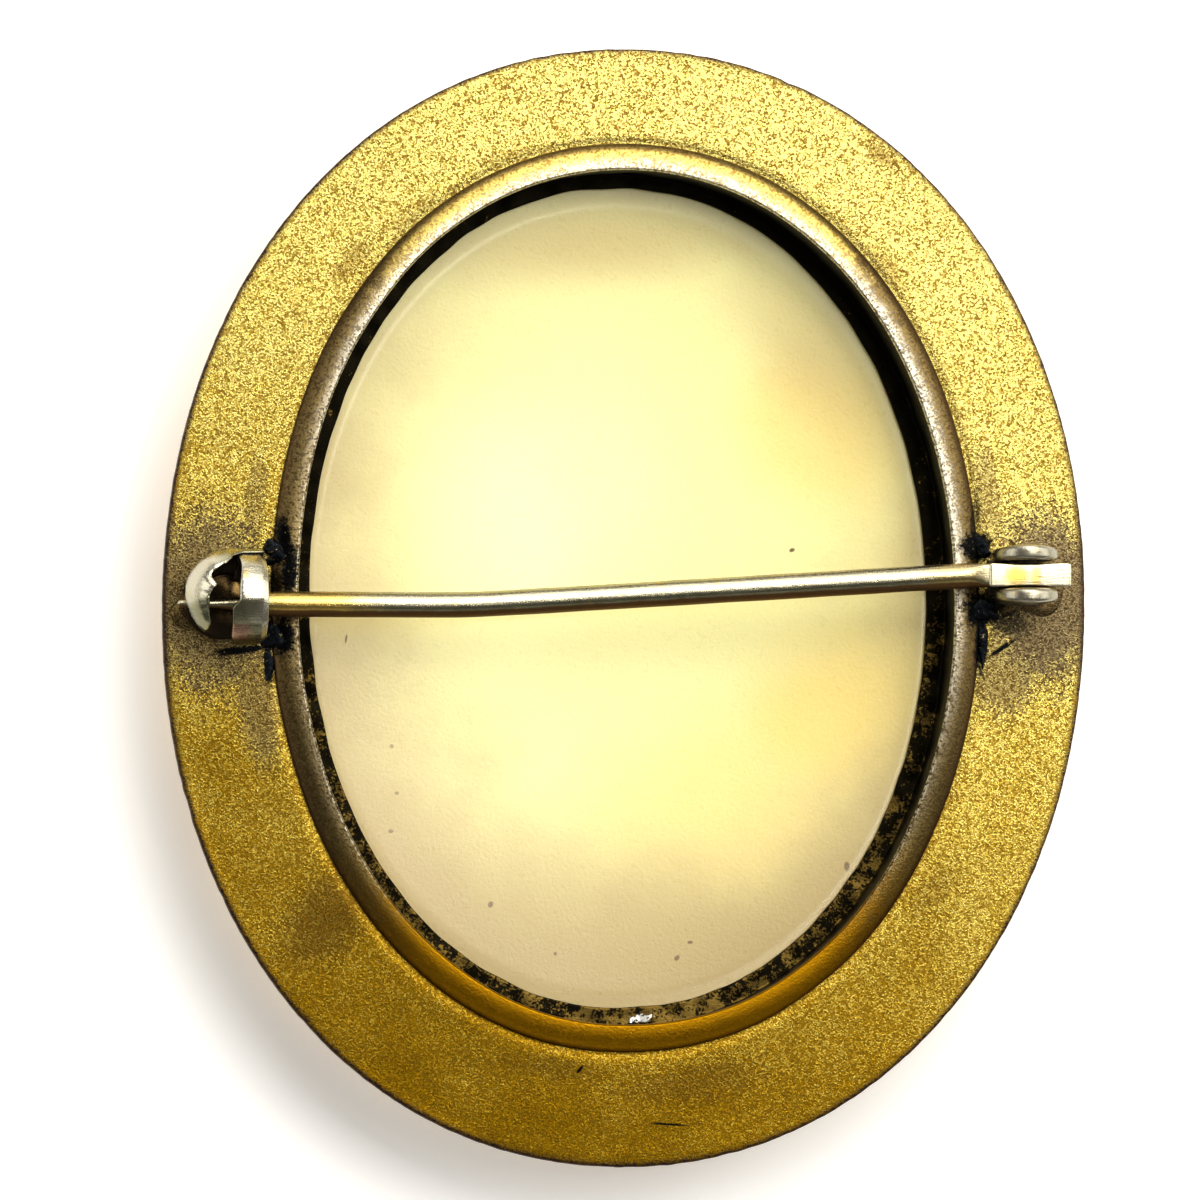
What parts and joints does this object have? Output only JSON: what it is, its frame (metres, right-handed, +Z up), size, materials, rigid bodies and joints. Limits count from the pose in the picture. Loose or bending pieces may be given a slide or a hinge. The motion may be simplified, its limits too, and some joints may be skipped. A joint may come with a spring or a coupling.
{
  "type": "oval cameo brooch with a safety catch",
  "caption": "Oval gilt-metal cameo brooch lying face down, with a wide back flange, a round-ended catch and a riveted pin that swings open.",
  "frame": {"origin": "middle of the frame's oval, on the plane that the front border rests on", "axes": "+Z up, out of the back of the brooch; +X across it, from the catch to the hinge; +Y along its height, as the picture shows it"},
  "size_m": [0.0416, 0.05, 0.01],
  "materials": {
    "gilt_metal": "bloomed gilt, sand-grained and tarnished",
    "shell": "polished cream shell, slightly translucent",
    "catch_metal": "worn silvery brass",
    "hinge_metal": "worn silvery brass",
    "pin_wire": "polished pale brass wire"
  },
  "bodies": {
    "brooch": {"frame": "gilt_metal", "cameo": "shell", "catch": "catch_metal", "hinge_bracket": "hinge_metal"},
    "rivet": {"hinge_rivet": "hinge_metal"},
    "pin": {"pin": "pin_wire"}
  },
  "joints": [
    {"name": "pin_swing", "type": "hinge", "parent": "brooch", "child": "rivet", "pos_m": [0.0178, 0.0013, 0.00783], "axis": [0, 1, 0], "range_deg": [0, 68]},
    {"name": "pin_sway", "type": "hinge", "parent": "rivet", "child": "pin", "pos_m": [0.0178, 0.0013, 0.00783], "axis": [0, 0, 1], "range_deg": [0, 4.3]}
  ]
}
